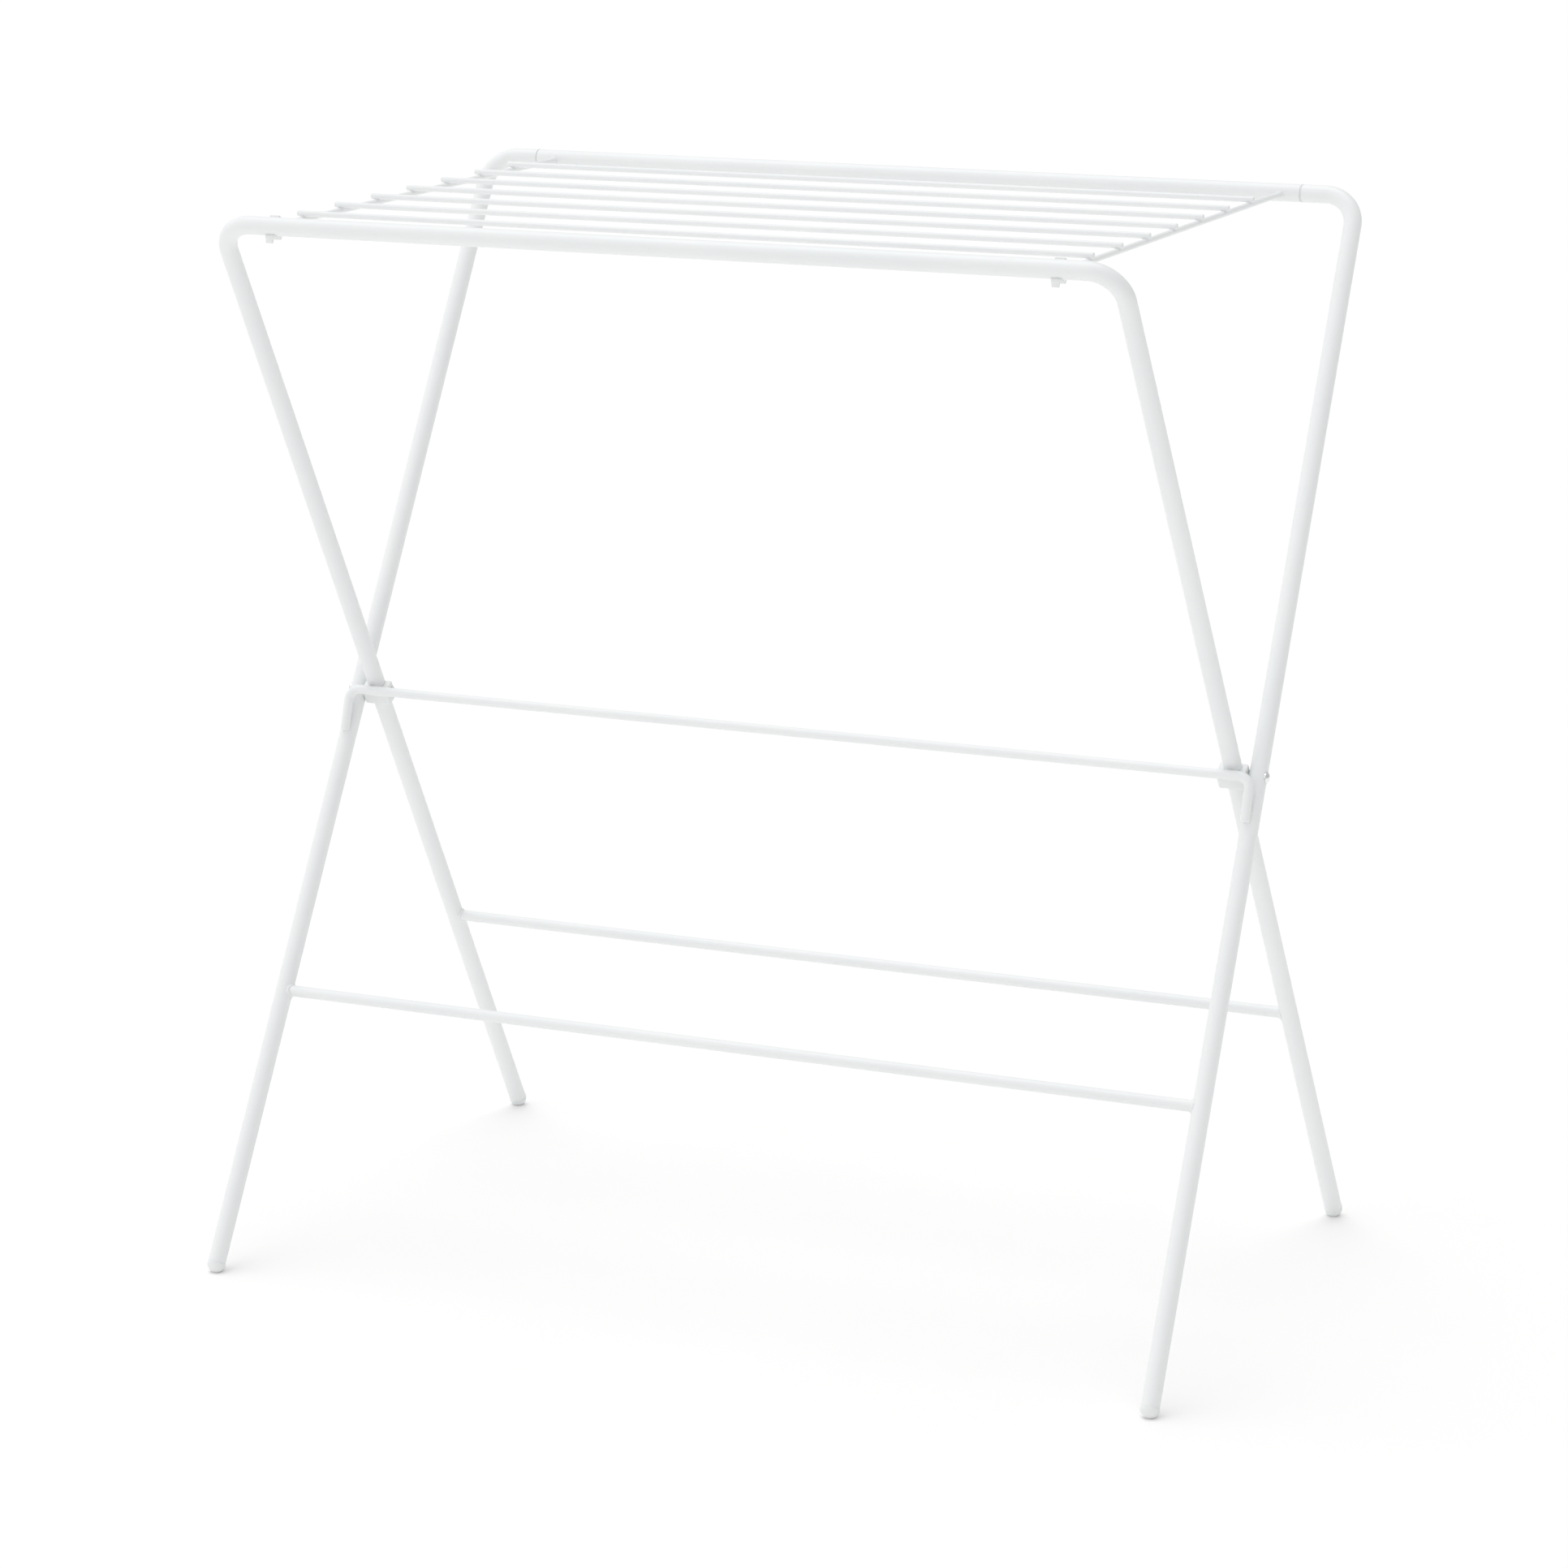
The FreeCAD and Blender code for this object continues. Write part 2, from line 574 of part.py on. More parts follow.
os.makedirs("parts", exist_ok=True)
for node in nodes:
    node.Shape.exportStep(os.path.join("parts", node.Label + ".step"))
    print(f"{node.Label}: {node.Shape.Volume:.1f} mm3")
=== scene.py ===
import math

import bmesh
import bpy
from mathutils import Matrix, Vector, noise


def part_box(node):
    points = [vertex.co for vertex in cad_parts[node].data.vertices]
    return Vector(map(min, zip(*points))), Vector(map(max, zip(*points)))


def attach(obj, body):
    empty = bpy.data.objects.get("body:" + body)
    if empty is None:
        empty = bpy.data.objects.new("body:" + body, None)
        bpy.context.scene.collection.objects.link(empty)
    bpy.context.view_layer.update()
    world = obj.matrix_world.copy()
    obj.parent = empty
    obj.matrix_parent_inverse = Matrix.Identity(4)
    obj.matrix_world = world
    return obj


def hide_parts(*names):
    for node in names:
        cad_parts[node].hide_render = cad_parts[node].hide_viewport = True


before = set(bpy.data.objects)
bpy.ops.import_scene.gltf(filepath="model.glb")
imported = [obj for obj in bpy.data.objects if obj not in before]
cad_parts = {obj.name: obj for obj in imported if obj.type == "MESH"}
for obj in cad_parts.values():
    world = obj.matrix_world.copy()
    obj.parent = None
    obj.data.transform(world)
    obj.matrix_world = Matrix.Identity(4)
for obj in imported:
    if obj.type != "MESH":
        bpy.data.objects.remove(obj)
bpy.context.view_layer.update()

# Sizes are in metres. They repeat the CAD model's driving dimensions where a box does not give them.
MM = 0.001
LEAN = math.radians(29.88)
SPLAY = math.radians(0.914)
PIVOT_Z = 424 * MM
TUBE_R = 7 * MM
BORE_R = 6 * MM
BEND_R = 26 * MM
OUTER_HALF = 385.7 * MM
INNER_HALF = 367.2 * MM
LOW_BAR_R = 4.5 * MM
LOW_BAR_BORE = 3.7 * MM
RAIL_R = 3.75 * MM
RAIL_BEND = 9 * MM
RAIL_END_X = 385 * MM
RAIL_END_DROP = 34 * MM
RAIL_END_LEAN = math.radians(18.3)
RAIL_FORWARD = 16.2 * MM
RAIL_RISE = 3.6 * MM
WIRE_R = 2.25 * MM
WIRE_ROUND = 0.9 * MM
FOOT_R = 7.3 * MM
FOOT_CENTRE = 6.3 * MM
FOOT_FLOOR = 1 * MM
PLUG_R = 5.95 * MM
PLUG_TOP = 22 * MM
GAP = 0.3 * MM
LOW_BAR_WELD = 1.3 * MM
RAIL_WELD = 0.8 * MM
CROSS_WELD = 0.9 * MM
SEGMENTS = 64

X = Vector((1, 0, 0))
Y = Vector((0, 1, 0))
Z = Vector((0, 0, 1))


# ---- places read from the frame ----

def middle(node):
    low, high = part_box(node)
    return (low + high) / 2


TOP_Z = middle("grid_pivot_bar").z
TOP_Y = middle("grid_pivot_bar").y
SEAM_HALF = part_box("grid_pivot_bar")[1].x
TOP_W = (TOP_Z - PIVOT_Z) / math.cos(LEAN)
FOOT_W = (PIVOT_Z - FOOT_CENTRE) / math.cos(LEAN)
SPREAD = math.tan(SPLAY)


def on_frame(x, w, lean_sign):
    """A point of a frame's plane, w up from the pivot line: -1 for the outer frame, 1 for the inner."""
    return Vector((x, -lean_sign * w * math.sin(LEAN), PIVOT_Z + w * math.cos(LEAN)))


def leg_line(half, lean_sign, side):
    """A point on a leg's axis at the pivot, and its direction upwards."""
    low = on_frame(half + FOOT_W * SPREAD, -FOOT_W, lean_sign)
    high = on_frame(half - TOP_W * SPREAD, TOP_W, lean_sign)
    direction = (high - low).normalized()
    point = on_frame(half, 0, lean_sign)
    if side < 0:
        point.x, direction.x = -point.x, -direction.x
    return point, direction


# ---- mesh building ----

class Shell:
    """Points and faces of one piece as they are put together."""

    def __init__(self):
        self.points = []
        self.faces = []

    def skin(self, rings, closed=False):
        """Join rings of equal length into a surface, with flat ends unless it closes on itself."""
        size, base = len(rings[0]), len(self.points)
        for ring in rings:
            self.points.extend(ring)
        pairs = len(rings) if closed else len(rings) - 1
        for i in range(pairs):
            near, far = base + i * size, base + (i + 1) % len(rings) * size
            for j in range(size):
                k = (j + 1) % size
                self.faces.append((near + j, near + k, far + k, far + j))
        if not closed:
            last = base + (len(rings) - 1) * size
            self.faces.append(tuple(range(base + size - 1, base - 1, -1)))
            self.faces.append(tuple(range(last, last + size)))
        return self

    def mirrored(self):
        other = Shell()
        other.points = [Vector((-p.x, p.y, p.z)) for p in self.points]
        other.faces = [tuple(reversed(f)) for f in self.faces]
        return other

    def add(self, other):
        base = len(self.points)
        self.points.extend(other.points)
        self.faces.extend(tuple(base + i for i in f) for f in other.faces)
        return self


def circle(centre, direction, radius, across, segments=SEGMENTS):
    """A ring of points square to a direction."""
    up = direction.cross(across).normalized()
    side = up.cross(direction).normalized()
    turns = [math.tau * k / segments for k in range(segments)]
    return [centre + side * (radius * math.cos(t)) + up * (radius * math.sin(t)) for t in turns]


def bend_path(start, corner, end, radius, steps=28):
    """Points and directions along a straight run, a round bend and a second straight run."""
    to_start = (start - corner).normalized()
    to_end = (end - corner).normalized()
    half = to_start.angle(to_end) / 2
    centre = corner + (to_start + to_end).normalized() * (radius / math.sin(half))
    first = corner + to_start * (radius / math.tan(half)) - centre
    axis = (-to_start).cross(to_end).normalized()
    line = [(start, -to_start)]
    for k in range(steps + 1):
        turn = Matrix.Rotation((math.pi - 2 * half) * k / steps, 3, axis)
        line.append((centre + turn @ first, turn @ -to_start))
    line.append((end, to_end))
    return line


def rounded_ends(line, radius, rounding, steps=4):
    """Rings as (centre, direction, radius) along a line, its two ends rounded over."""
    def end(point, inwards, direction):
        rings = []
        for k in range(steps + 1):
            depth = rounding * (1 - math.cos(math.pi / 2 * k / steps))
            shrink = rounding - math.sqrt(max(rounding ** 2 - (rounding - depth) ** 2, 0))
            rings.append((point + inwards * depth, direction, radius - shrink))
        return rings

    (first, first_way), (last, last_way) = line[0], line[-1]
    body = [(point, way, radius) for point, way in line[1:-1]]
    return end(first, first_way, first_way) + body + end(last, -last_way, last_way)[::-1]


def rod(line, radius, rounding, across):
    """A solid round bar along a line."""
    rings = rounded_ends(line, radius, rounding)
    return Shell().skin([circle(c, d, r, across) for c, d, r in rings])


def tube(line, radius, bore, across, rounding=0.25 * MM):
    """A round tube along a line, with its edges broken."""
    outside = [circle(c, d, r, across) for c, d, r in rounded_ends(line, radius, rounding)]
    inside = [circle(c, d, bore, across) for c, d in reversed(line)]
    return Shell().skin(outside + inside, closed=True)


def lathe(profile, origin, axis, across):
    """A turned shape, its profile given as (distance along the axis, radius)."""
    return Shell().skin([circle(origin + axis * s, axis, r, across) for s, r in profile])


def corner_arc(s, radius, size, start, stop, steps=6):
    """Profile points of a rounded edge about (s, radius), angles in degrees from outwards."""
    points = []
    for k in range(steps + 1):
        t = math.radians(start + (stop - start) * k / steps)
        points.append((s + size * math.sin(t), radius + size * math.cos(t)))
    return points


def bead(loop, radius, ripple=0.12, segments=10):
    """A weld bead round a closed loop of points, with the ripples of the welding."""
    count = len(loop)
    centre = sum(loop, Vector()) / count
    rings = []
    for k, point in enumerate(loop):
        way = (loop[(k + 1) % count] - loop[k - 1]).normalized()
        swell = 1 + ripple * noise.noise(point * 900) + 0.5 * ripple * math.sin(k * math.tau / 5)
        rings.append(circle(point, way, radius * swell, point - centre, segments))
    return Shell().skin(rings, closed=True)


def meeting_loop(origin, direction, radius, post, post_way, post_radius, count=60):
    """Where a round bar that starts at origin first meets a round post."""
    across = direction.orthogonal().normalized()
    loop = []
    for start in circle(origin, direction, radius, across, count):
        offset = start - post
        m = offset - post_way * offset.dot(post_way)
        n = direction - post_way * direction.dot(post_way)
        root = m.dot(n) ** 2 - n.length_squared * (m.length_squared - post_radius ** 2)
        loop.append(start + direction * ((-m.dot(n) - math.sqrt(root)) / n.length_squared))
    return loop


def finish_mesh(obj, angle=38):
    mesh = obj.data
    work = bmesh.new()
    work.from_mesh(mesh)
    bmesh.ops.recalc_face_normals(work, faces=work.faces)
    work.to_mesh(mesh)
    work.free()
    mesh.shade_smooth()
    mesh.set_sharp_from_angle(angle=math.radians(angle))


def piece(name, shell, material, slot, body, *stands_for):
    """Make one finished piece of the rack that moves with a body."""
    mesh = bpy.data.meshes.new(name)
    mesh.from_pydata(shell.points, [], shell.faces)
    obj = bpy.data.objects.new(name, mesh)
    bpy.context.scene.collection.objects.link(obj)
    finish_mesh(obj)
    mesh.materials.append(material)
    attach(obj, body)
    if stands_for:
        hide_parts(*stands_for)
    return obj


# ---- materials ----

def start_material(name):
    material = bpy.data.materials.new(name)
    material.use_nodes = True
    tree = material.node_tree
    return material, tree, tree.nodes["Principled BSDF"]


def add_noise(tree, coordinates, scale, detail=2.0, roughness=0.5):
    node = tree.nodes.new("ShaderNodeTexNoise")
    node.inputs["Scale"].default_value = scale
    node.inputs["Detail"].default_value = detail
    node.inputs["Roughness"].default_value = roughness
    tree.links.new(coordinates, node.inputs["Vector"])
    return node.outputs["Fac"]


def add_range(tree, source, low, high, start=0.0, stop=1.0):
    """Spread a value between two limits."""
    node = tree.nodes.new("ShaderNodeMapRange")
    node.inputs["From Min"].default_value = start
    node.inputs["From Max"].default_value = stop
    node.inputs["To Min"].default_value = low
    node.inputs["To Max"].default_value = high
    tree.links.new(source, node.inputs["Value"])
    return node.outputs["Result"]


def add_mix(tree, factor, first, second):
    """Mix two colours, each a colour or another node's output."""
    node = tree.nodes.new("ShaderNodeMix")
    node.data_type = "RGBA"
    tree.links.new(factor, node.inputs["Factor"])
    for socket, source in ((node.inputs["A"], first), (node.inputs["B"], second)):
        if isinstance(source, tuple):
            socket.default_value = (*source, 1)
        else:
            tree.links.new(source, socket)
    return node.outputs["Result"]


def add_bump(tree, shader, layers):
    """Stack bumps, each (height output, depth in metres, strength)."""
    normal = None
    for height, depth, strength in layers:
        node = tree.nodes.new("ShaderNodeBump")
        node.inputs["Distance"].default_value = depth
        node.inputs["Strength"].default_value = strength
        tree.links.new(height, node.inputs["Height"])
        if normal:
            tree.links.new(normal, node.inputs["Normal"])
        normal = node.outputs["Normal"]
    tree.links.new(normal, shader.inputs["Normal"])


def powder_coat():
    """White powder coat on steel tube: orange peel, a fine grain, faint scuffs and specks."""
    material, tree, shader = start_material("white_powder_coat")
    place = tree.nodes.new("ShaderNodeTexCoord").outputs["Object"]
    broad = add_noise(tree, place, 9, 3)
    peel = add_noise(tree, place, 750, 2, 0.45)
    grain = add_noise(tree, place, 3800, 1)
    scuffs = add_noise(tree, place, 60, 6, 0.7)
    specks = add_noise(tree, place, 1900, 0)
    tint = add_mix(tree, add_range(tree, broad, 0, 1, 0.35, 0.65), (0.833, 0.845, 0.848),
                   (0.855, 0.864, 0.865))
    worn = add_mix(tree, add_range(tree, scuffs, 0, 0.5, 0.60, 0.78), tint, (0.80, 0.80, 0.79))
    dotted = add_mix(tree, add_range(tree, specks, 0, 0.35, 0.80, 0.88), worn, (0.62, 0.62, 0.61))
    tree.links.new(dotted, shader.inputs["Base Color"])
    tree.links.new(add_range(tree, scuffs, 0.30, 0.46, 0.3, 0.75), shader.inputs["Roughness"])
    shader.inputs["Coat Weight"].default_value = 0.12
    shader.inputs["Coat Roughness"].default_value = 0.18
    add_bump(tree, shader, [(peel, 0.00003, 0.8), (grain, 0.000008, 0.6)])
    return material


def moulded_plastic():
    """White moulded plastic: a little softer and cooler, with an eroded mould texture."""
    material, tree, shader = start_material("white_plastic")
    place = tree.nodes.new("ShaderNodeTexCoord").outputs["Object"]
    broad = add_noise(tree, place, 70, 3)
    spark = add_noise(tree, place, 2600, 3, 0.6)
    flow = add_noise(tree, place, 240, 2)
    tint = add_mix(tree, add_range(tree, broad, 0, 1, 0.35, 0.65), (0.805, 0.822, 0.816),
                   (0.835, 0.848, 0.842))
    tree.links.new(tint, shader.inputs["Base Color"])
    tree.links.new(add_range(tree, flow, 0.34, 0.5, 0.3, 0.7), shader.inputs["Roughness"])
    shader.inputs["Subsurface Weight"].default_value = 0.08
    shader.inputs["Subsurface Scale"].default_value = 0.002
    add_bump(tree, shader, [(flow, 0.00004, 0.4), (spark, 0.000012, 0.7)])
    return material


def rivet_steel():
    """Bright plated steel: fine turning marks round the head and small dulled patches."""
    material, tree, shader = start_material("steel_rivet")
    place = tree.nodes.new("ShaderNodeTexCoord").outputs["Object"]
    dull = add_noise(tree, place, 420, 3)
    scratches = add_noise(tree, place, 5200, 2)
    tint = add_mix(tree, add_range(tree, dull, 0, 1, 0.35, 0.7), (0.90, 0.90, 0.90),
                   (0.80, 0.80, 0.80))
    tree.links.new(tint, shader.inputs["Base Color"])
    tree.links.new(add_range(tree, dull, 0.12, 0.3, 0.3, 0.75), shader.inputs["Roughness"])
    shader.inputs["Metallic"].default_value = 1.0
    add_bump(tree, shader, [(scratches, 0.00001, 0.5)])
    return material


# A material and its slot.
COATED = (powder_coat(), "white_powder_coat")
MOULDED = (moulded_plastic(), "white_plastic")
PLATED = (rivet_steel(), "steel_rivet")
SIDES = (("right", 1), ("left", -1))


def sided(shell, side):
    return shell if side > 0 else shell.mirrored()


# ---- the two frames ----

stub_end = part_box("outer_leg_right")[0].x
outer_foot = on_frame(OUTER_HALF + (FOOT_W - FOOT_FLOOR) * SPREAD, FOOT_FLOOR - FOOT_W, -1)
outer_line = bend_path(on_frame(stub_end, TOP_W, -1),
                       on_frame(OUTER_HALF - TOP_W * SPREAD, TOP_W, -1), outer_foot, BEND_R)
outer_across = Vector((0, -math.cos(LEAN), math.sin(LEAN)))
for label, side in SIDES:
    shell = sided(tube(outer_line, TUBE_R, BORE_R, outer_across), side)
    piece(f"leg_tube_{label}", shell, *COATED, "outer_frame", f"outer_leg_{label}")

inner_foot = on_frame(INNER_HALF + (FOOT_W - FOOT_FLOOR) * SPREAD, FOOT_FLOOR - FOOT_W, 1)
inner_line = bend_path(on_frame(0, TOP_W, 1), on_frame(INNER_HALF - TOP_W * SPREAD, TOP_W, 1),
                       inner_foot, BEND_R)
other_half = [(Vector((-p.x, p.y, p.z)), Vector((d.x, -d.y, -d.z))) for p, d in inner_line[1:]]
inner_across = Vector((0, math.cos(LEAN), math.sin(LEAN)))
hoop = tube(other_half[::-1] + inner_line[1:], TUBE_R, BORE_R, inner_across)
piece("hoop_tube", hoop, *COATED, "inner_frame", "inner_hoop")

frame_welds = Shell()
hoop_welds = Shell()
for node, half, lean_sign, body, welds in (
        ("front_lower_bar", OUTER_HALF, -1, "outer_frame", frame_welds),
        ("back_lower_bar", INNER_HALF, 1, "inner_frame", hoop_welds)):
    bar = middle(node)
    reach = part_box(node)[1].x - 0.4 * MM
    line = [(bar - X * reach, X), (bar + X * reach, X)]
    piece(f"{node}_tube", tube(line, LOW_BAR_R, LOW_BAR_BORE, Z), *COATED, body, node)
    post, way = leg_line(half, lean_sign, 1)
    loop = meeting_loop(Vector((0, bar.y, bar.z)), X, LOW_BAR_R, post, way, TUBE_R)
    weld = bead(loop, LOW_BAR_WELD)
    welds.add(weld).add(weld.mirrored())

rail_turn = Matrix.Rotation(-RAIL_END_LEAN, 3, "X")
rail_at = Vector((0, -RAIL_FORWARD, PIVOT_Z + RAIL_RISE))


def on_rail(x, z):
    return rail_at + rail_turn @ Vector((x, 0, z))


rail_half = bend_path(on_rail(0, 0), on_rail(RAIL_END_X, 0), on_rail(RAIL_END_X, -RAIL_END_DROP),
                      RAIL_BEND)
rail_other = [(Vector((-p.x, p.y, p.z)), Vector((d.x, -d.y, -d.z))) for p, d in rail_half[1:]]
rail = rod(rail_other[::-1] + rail_half[1:], RAIL_R, 1.2 * MM, rail_turn @ Y)
piece("rail_rod", rail, *COATED, "outer_frame", "mid_rail")


def seam_loop(start, way, radius, length, post, post_way, post_radius, steps=60, count=180):
    """Where the side of a rod that closes in on a post at a small angle meets the post."""
    left, right = [], []
    toward = post + post_way * (start - post).dot(post_way) - start
    toward = (toward - way * toward.dot(way)).normalized()
    for step in range(steps + 1):
        centre = start + way * (length * step / steps)
        ring = circle(centre, way, radius, toward, count)
        inside = []
        for point in ring:
            offset = point - post
            inside.append((offset - post_way * offset.dot(post_way)).length < post_radius)
        crossings = [k for k in range(count) if inside[k] != inside[k - 1]]
        if len(crossings) == 2:
            pair = sorted(crossings, key=lambda k: k if k < count / 2 else k - count)
            left.append(ring[pair[0]])
            right.append(ring[pair[1]])
    return left + right[::-1]


post, way = leg_line(OUTER_HALF, -1, 1)
rail_end_way = rail_turn @ -Z
rail_start = on_rail(RAIL_END_X, -RAIL_BEND)
rail_weld = bead(seam_loop(rail_start, rail_end_way, RAIL_R, RAIL_END_DROP - RAIL_BEND, post, way,
                           TUBE_R), RAIL_WELD)
frame_welds.add(rail_weld).add(rail_weld.mirrored())
piece("outer_frame_welds", frame_welds, *COATED, "outer_frame")
piece("inner_frame_welds", hoop_welds, *COATED, "inner_frame")

# ---- feet ----

for half, lean_sign, end, body in ((OUTER_HALF, -1, "front", "outer_frame"),
                                   (INNER_HALF, 1, "back", "inner_frame")):
    post, way = leg_line(half, lean_sign, 1)
    foot = on_frame(half + FOOT_W * SPREAD, -FOOT_W, lean_sign)
    profile = [(PLUG_TOP, PLUG_R - 0.6 * MM), (PLUG_TOP - 0.6 * MM, PLUG_R),
               (FOOT_FLOOR, PLUG_R), (FOOT_FLOOR, FOOT_R - 0.3 * MM),
               (FOOT_FLOOR - 0.12 * MM, FOOT_R - 0.06 * MM), (FOOT_FLOOR - 0.3 * MM, FOOT_R)]
    for k in range(0, 25):
        t = math.pi / 2 * k / 24.4
        profile.append((-FOOT_R * math.sin(t), FOOT_R * math.cos(t)))
    cap = lathe(profile, foot, way, X)
    for point in cap.points:
        point.z = max(point.z, 0.0)
    for label, side in SIDES:
        piece(f"{end}_foot_{label}", sided(cap, side), *MOULDED, body, f"{end}_foot_cap_{label}")

# ---- pivots ----

rivet_low, rivet_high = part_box("pivot_rivet_right")
HEAD_R = 4.5 * MM
SHANK_R = 2.5 * MM
DOME = 2.2 * MM
SKIRT = 1.7 * MM


def rivet_head(face, sign):
    """Profile of a domed head, from its rim at the face to the top."""
    dome_r = (HEAD_R ** 2 + DOME ** 2) / (2 * DOME)
    half = math.asin(HEAD_R / dome_r)
    points = [(face, HEAD_R - 0.25 * MM), (face + sign * 0.15 * MM, HEAD_R - 0.04 * MM)]
    for k in range(1, 16):
        t = half * (1 - k / 16)
        points.append((face + sign * (DOME - dome_r * (1 - math.cos(t))), dome_r * math.sin(t)))
    return points


# The outer head carries on as a skirt down the round side of the tube.
outer_face = rivet_high.x - DOME
inner_face = rivet_low.x + DOME
skirt = outer_face - SKIRT
profile = (rivet_head(inner_face, -1)[::-1]
           + [(inner_face, SHANK_R), (skirt, SHANK_R), (skirt, HEAD_R - 0.4 * MM)]
           + rivet_head(outer_face, 1))
rivet = lathe(profile, Vector((0, 0, PIVOT_Z)), X, Z)
for label, side in SIDES:
    piece(f"rivet_{label}", sided(rivet, side), *PLATED, "outer_frame", f"pivot_rivet_{label}")

SADDLE_IN = 355.5 * MM
SADDLE_OUT = 378.2 * MM
SADDLE_FRONT = 8.2 * MM
SADDLE_BACK = 5 * MM
SADDLE_FIT = 0.02 * MM
SADDLE_HALF_HEIGHT = 8 * MM
SADDLE_ROUND = 1.4 * MM


def saddle_outline(inset, lift):
    """The saddle's C-shaped outline in the frame's plane axes, drawn in by an inset at the ends."""
    low, high = SADDLE_IN + inset, SADDLE_OUT - inset
    front, back = -SADDLE_FRONT + inset, SADDLE_BACK - inset
    centre = INNER_HALF - lift * SPREAD
    round_r = SADDLE_ROUND - inset * 0.5
    seat = TUBE_R + SADDLE_FIT
    points = []
    corners = ((high - round_r, back - round_r, 90), (high - round_r, front + round_r, 0),
               (low + round_r, front + round_r, -90), (low + round_r, back - round_r, -180))
    for cx, cy, start in corners:
        for k in range(7):
            t = math.radians(start - 15 * k)
            points.append((cx + round_r * math.cos(t), cy + round_r * math.sin(t)))
    open_angle = math.asin(back / seat)
    for k in range(33):
        t = math.pi - open_angle + (math.pi + 2 * open_angle) * k / 32
        points.append((centre + seat * math.cos(t), seat * math.sin(t)))
    return points


saddle_turn = Matrix.Rotation(LEAN, 3, "X")
rings = []
for rise in (-1, 1):
    levels = []
    for k in range(6):
        t = math.pi / 2 * k / 5
        levels.append((SADDLE_ROUND * (1 - math.sin(t)),
                       rise * (SADDLE_HALF_HEIGHT - SADDLE_ROUND * (1 - math.cos(t)))))
    rings.extend(levels if rise < 0 else levels[::-1])
saddle = Shell().skin([[Vector((0, 0, PIVOT_Z)) + saddle_turn @ Vector((x, y, lift))
                        for x, y in saddle_outline(inset, lift)] for inset, lift in rings])
for label, side in SIDES:
    piece(f"saddle_{label}", sided(saddle, side), *MOULDED, "inner_frame",
          f"pivot_saddle_{label}")

# ---- the turning bar and its bushes ----

bar = middle("grid_pivot_bar")
bar_line = [(bar - X * SEAM_HALF, X), (bar + X * SEAM_HALF, X)]
piece("turning_bar", tube(bar_line, TUBE_R, BORE_R, Z), *COATED, "drying_grid", "grid_pivot_bar")

bush_low, bush_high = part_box("bar_end_bush_right")
COLLAR_R = (bush_high.z - bush_low.z) / 2
seam = SEAM_HALF + GAP
edge = 0.22 * MM
taper = 0.5 * MM
profile = ([(bush_low.x, PLUG_R - taper), (bush_low.x + taper, PLUG_R), (seam, PLUG_R)]
           + corner_arc(seam + edge, COLLAR_R - edge, edge, -90, 0, 3)
           + corner_arc(stub_end - edge, COLLAR_R - edge, edge, 0, 90, 3)
           + [(stub_end, PLUG_R), (bush_high.x - taper, PLUG_R), (bush_high.x, PLUG_R - taper)])
bush = lathe(profile, Vector((0, TOP_Y, TOP_Z)), X, Z)
for label, side in SIDES:
    piece(f"bush_{label}", sided(bush, side), *MOULDED, "outer_frame", f"bar_end_bush_{label}")

# ---- the grid ----

SPOT_R = 2.1 * MM
SPOT_HALF_HEIGHT = 0.75 * MM
grid_welds = Shell()
cross = middle("cross_wire_right")
cross_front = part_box("cross_wire_right")[0].y
cross_end = TOP_Y - BORE_R - 0.5 * MM
cross_line = [(Vector((cross.x, cross_front, cross.z)), Y), (Vector((cross.x, cross_end, cross.z)), Y)]
cross_wire = rod(cross_line, WIRE_R, 0.3 * MM, X)
for label, side in SIDES:
    piece(f"cross_rod_{label}", sided(cross_wire, side), *COATED, "drying_grid",
          f"cross_wire_{label}")
loop = meeting_loop(Vector((cross.x, 0, cross.z)), Y, WIRE_R, bar, X, TUBE_R, 40)
bar_weld = bead(loop, CROSS_WELD)
grid_welds.add(bar_weld).add(bar_weld.mirrored())

for number in range(1, 8):
    node = f"grid_wire_{number}"
    wire = middle(node)
    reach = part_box(node)[1].x
    line = [(wire - X * reach, X), (wire + X * reach, X)]
    piece(f"long_wire_{number}", rod(line, WIRE_R, WIRE_ROUND, Z), *COATED, "drying_grid", node)
    for side in (1, -1):
        contact = Vector((side * cross.x, wire.y, (wire.z + cross.z) / 2))
        rings = []
        for k in range(13):
            t = math.pi * (k + 0.35) / 12.7
            lift = Z * (-SPOT_HALF_HEIGHT * math.cos(t))
            ring = circle(contact + lift, Z, SPOT_R * math.sin(t), X, 24)
            rings.append([p + (p - contact) * 0.15 * noise.noise(p * 700) for p in ring])
        grid_welds.add(Shell().skin(rings))
piece("grid_spot_welds", grid_welds, *COATED, "drying_grid")

# ---- the rests that carry the grid's front edge ----

# The hook is drawn about the front tube's axis as (back, up), with angles in degrees from the back.
front_tube = Vector((0, -TOP_Y, TOP_Z))
HOOK_HALF = 314 * MM
HOOK_HALF_WIDTH = 4 * MM
HOOK_IN = 7.05 * MM
HOOK_OUT = 8.4 * MM
HOOK_TOP = 70
HOOK_FRONT = -127
NOSE_R = 7.9 * MM
NOSE_AT = math.radians(-129)
LIP_R = 1.2 * MM
LIP_HALF_WIDTH = 2.6 * MM
LIP_END = -11.5 * MM
LIP_ROOT = -6.5 * MM
FRONT_LIP = (-5.6 * MM, -10.8 * MM)
BACK_LIP = (6.4 * MM, -9.6 * MM)
BLOCK_IN = 310.6 * MM
BLOCK_TOP = 5 * MM
BLOCK_BOTTOM = 5.6 * MM
BLOCK_ROUND = 0.9 * MM
SLOT_FRONT = 9 * MM
REST_EDGE = 0.25 * MM


